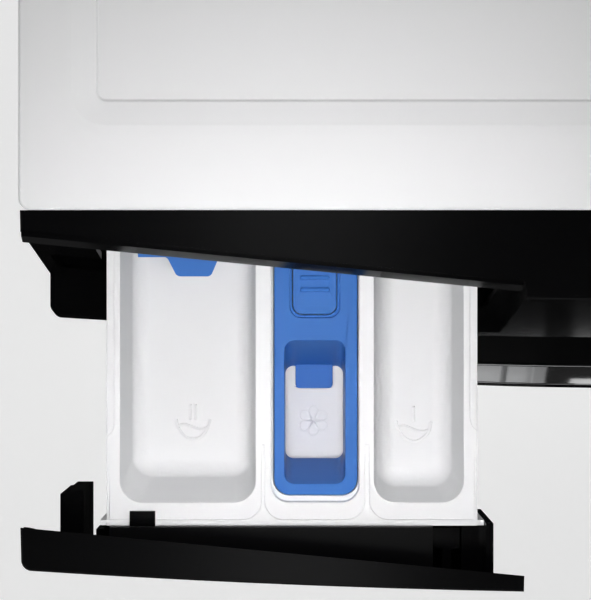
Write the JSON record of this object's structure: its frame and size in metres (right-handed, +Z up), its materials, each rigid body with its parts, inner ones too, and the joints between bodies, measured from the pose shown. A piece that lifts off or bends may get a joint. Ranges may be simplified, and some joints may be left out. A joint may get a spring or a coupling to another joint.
{
  "type": "front load washing machine",
  "caption": "Front load washing machine with a bowed gloss black fascia, a round chrome-ringed door and its detergent drawer pulled out.",
  "frame": {"origin": "floor level, in the middle of the cabinet's width and depth", "axes": "X to the right seen from the front, Y towards the back, Z up"},
  "size_m": [0.6004, 0.719, 0.85],
  "materials": {
    "white_enamel": "gloss white enamel",
    "white_lid": "gloss white laminate top",
    "gloss_black": "deep gloss black",
    "display_black": "smoked window",
    "black_plastic": "fine grain black",
    "chrome": "bright plated",
    "door_glass": "clear glass",
    "rubber_grey": "matt grey rubber",
    "rubber_black": "matt black rubber",
    "tray_white": "satin white plastic",
    "insert_blue": "translucent blue plastic",
    "housing_plastic": "grey plastic",
    "tub_plastic": "filled plastic",
    "drum_steel": "perforated stainless",
    "zinc": "galvanised sheet",
    "concrete": "cast concrete",
    "alloy": "cast alloy",
    "steel": "plain steel",
    "board_green": "circuit board",
    "silver_plastic": "silver finish",
    "valve_blue": "valve body",
    "drive_rubber": "ribbed belt"
  },
  "bodies": {
    "cabinet": {"top_panel": "white_lid", "side_panel_left": "white_enamel", "side_panel_right": "white_enamel", "rear_panel": "zinc", "rear_access_cover": "zinc", "panel_screws": "steel", "base_frame": "black_plastic", "front_panel": "white_enamel", "plinth_panel": "white_enamel", "fascia": "gloss_black", "display_window": "display_black", "control_board": "board_green", "dispenser_housing": "housing_plastic", "dispenser_lid": "housing_plastic", "inlet_valve": "valve_blue", "inlet_hose": "rubber_grey", "drain_pump": "housing_plastic", "drain_hose": "rubber_grey", "sump_hose": "rubber_black", "dispenser_hose": "rubber_black", "mains_gland": "black_plastic", "damper_cylinders": "black_plastic", "suspension_springs": "steel", "hinge_bracket": "steel", "door_lock": "black_plastic", "door_gasket": "rubber_grey"},
    "foot_fl": {"foot_front_left": "black_plastic"},
    "foot_fr": {"foot_front_right": "black_plastic"},
    "foot_rl": {"foot_rear_left": "black_plastic"},
    "foot_rr": {"foot_rear_right": "black_plastic"},
    "flap": {"service_flap": "white_enamel"},
    "filter": {"pump_filter": "silver_plastic"},
    "impeller": {"pump_impeller": "black_plastic"},
    "knob": {"programme_knob": "silver_plastic"},
    "power": {"power_button": "silver_plastic"},
    "start": {"start_button": "silver_plastic"},
    "drawer": {"drawer_tray": "tray_white", "drawer_front": "gloss_black", "softener_siphon": "insert_blue"},
    "catch": {"release_tab": "insert_blue"},
    "dosing_flap": {"liquid_flap": "insert_blue"},
    "tub": {"tub_front": "tub_plastic", "tub_rear": "tub_plastic", "counterweights": "concrete", "heater": "steel", "motor_housing": "steel", "drum_bearings": "steel", "drive_belt": "drive_rubber", "damper_rods": "steel"},
    "drum": {"drum_shell": "drum_steel", "drum_lifters": "tub_plastic", "drum_spider": "alloy", "drum_pulley": "alloy"},
    "rotor": {"motor_rotor": "steel"},
    "door": {"door_frame": "gloss_black", "door_chrome_ring": "chrome", "door_cover": "display_black", "door_glass": "door_glass", "hinge_arm": "gloss_black"},
    "hook": {"door_hook": "steel"}
  },
  "joints": [
    {"name": "drawer_slide", "type": "slide", "parent": "cabinet", "child": "drawer", "axis": [0, -1, 0], "range_m": [-0.123, 0]},
    {"name": "catch_press", "type": "hinge", "parent": "drawer", "child": "catch", "pos_m": [-0.1745, -0.2615, 0.8046], "axis": [1, 0, 0], "range_deg": [0, 8], "stiffness_Nm_per_rad": 0.6, "springref_deg": -2.86},
    {"name": "dosing_flap_turn", "type": "hinge", "parent": "drawer", "child": "dosing_flap", "pos_m": [-0.23, -0.247, 0.804], "axis": [1, 0, 0], "range_deg": [0, 88]},
    {"name": "door_swing", "type": "hinge", "parent": "cabinet", "child": "door", "pos_m": [-0.239, -0.306, 0.415], "axis": [0, 0, -1], "range_deg": [0, 165]},
    {"name": "hook_turn", "type": "hinge", "parent": "door", "child": "hook", "pos_m": [0.207, -0.292, 0.415], "axis": [0, 0, 1], "range_deg": [0, 10], "stiffness_Nm_per_rad": 0.8, "springref_deg": -5.73},
    {"name": "tub_bounce", "type": "slide", "parent": "cabinet", "child": "tub", "axis": [0, 0, 1], "range_m": [-0.008, 0.008], "stiffness_N_per_m": 30000, "springref_m": 0.01023, "deforming": ["suspension_springs", "sump_hose", "dispenser_hose"]},
    {"name": "drum_spin", "type": "hinge", "parent": "tub", "child": "drum", "pos_m": [0, 0, 0.415], "axis": [0, 1, 0], "continuous": true},
    {"name": "motor_spin", "type": "hinge", "parent": "tub", "child": "rotor", "pos_m": [0.088, 0.1, 0.112], "axis": [0, 1, 0], "continuous": true},
    {"name": "impeller_spin", "type": "hinge", "parent": "cabinet", "child": "impeller", "pos_m": [0.205, -0.117, 0.057], "axis": [0, 1, 0], "continuous": true},
    {"name": "filter_turn", "type": "hinge", "parent": "cabinet", "child": "filter", "pos_m": [0.205, -0.25, 0.057], "axis": [0, -1, 0], "range_deg": [0, 180]},
    {"name": "service_flap_turn", "type": "hinge", "parent": "cabinet", "child": "flap", "pos_m": [0.205, -0.27375, 0.03], "axis": [1, 0, 0], "range_deg": [0, 95]},
    {"name": "knob_turn", "type": "hinge", "parent": "cabinet", "child": "knob", "pos_m": [0.014, -0.29884, 0.79], "axis": [0, -0.9883, 0.1522], "continuous": true},
    {"name": "power_press", "type": "slide", "parent": "cabinet", "child": "power", "axis": [0, 0.9883, -0.1522], "range_m": [0, 0.001], "stiffness_N_per_m": 1500, "springref_m": -0.001},
    {"name": "start_press", "type": "slide", "parent": "cabinet", "child": "start", "axis": [0, 0.9883, -0.1522], "range_m": [0, 0.001], "stiffness_N_per_m": 1500, "springref_m": -0.001},
    {"name": "foot_front_left_level", "type": "slide", "parent": "cabinet", "child": "foot_fl", "axis": [0, 0, -1], "range_m": [0, 0.012]},
    {"name": "foot_front_right_level", "type": "slide", "parent": "cabinet", "child": "foot_fr", "axis": [0, 0, -1], "range_m": [0, 0.012]},
    {"name": "foot_rear_left_level", "type": "slide", "parent": "cabinet", "child": "foot_rl", "axis": [0, 0, -1], "range_m": [0, 0.012]},
    {"name": "foot_rear_right_level", "type": "slide", "parent": "cabinet", "child": "foot_rr", "axis": [0, 0, -1], "range_m": [0, 0.012]}
  ],
  "couplings": [
    {"joint": "motor_spin", "follows": "drum_spin", "ratio": 15.556}
  ]
}
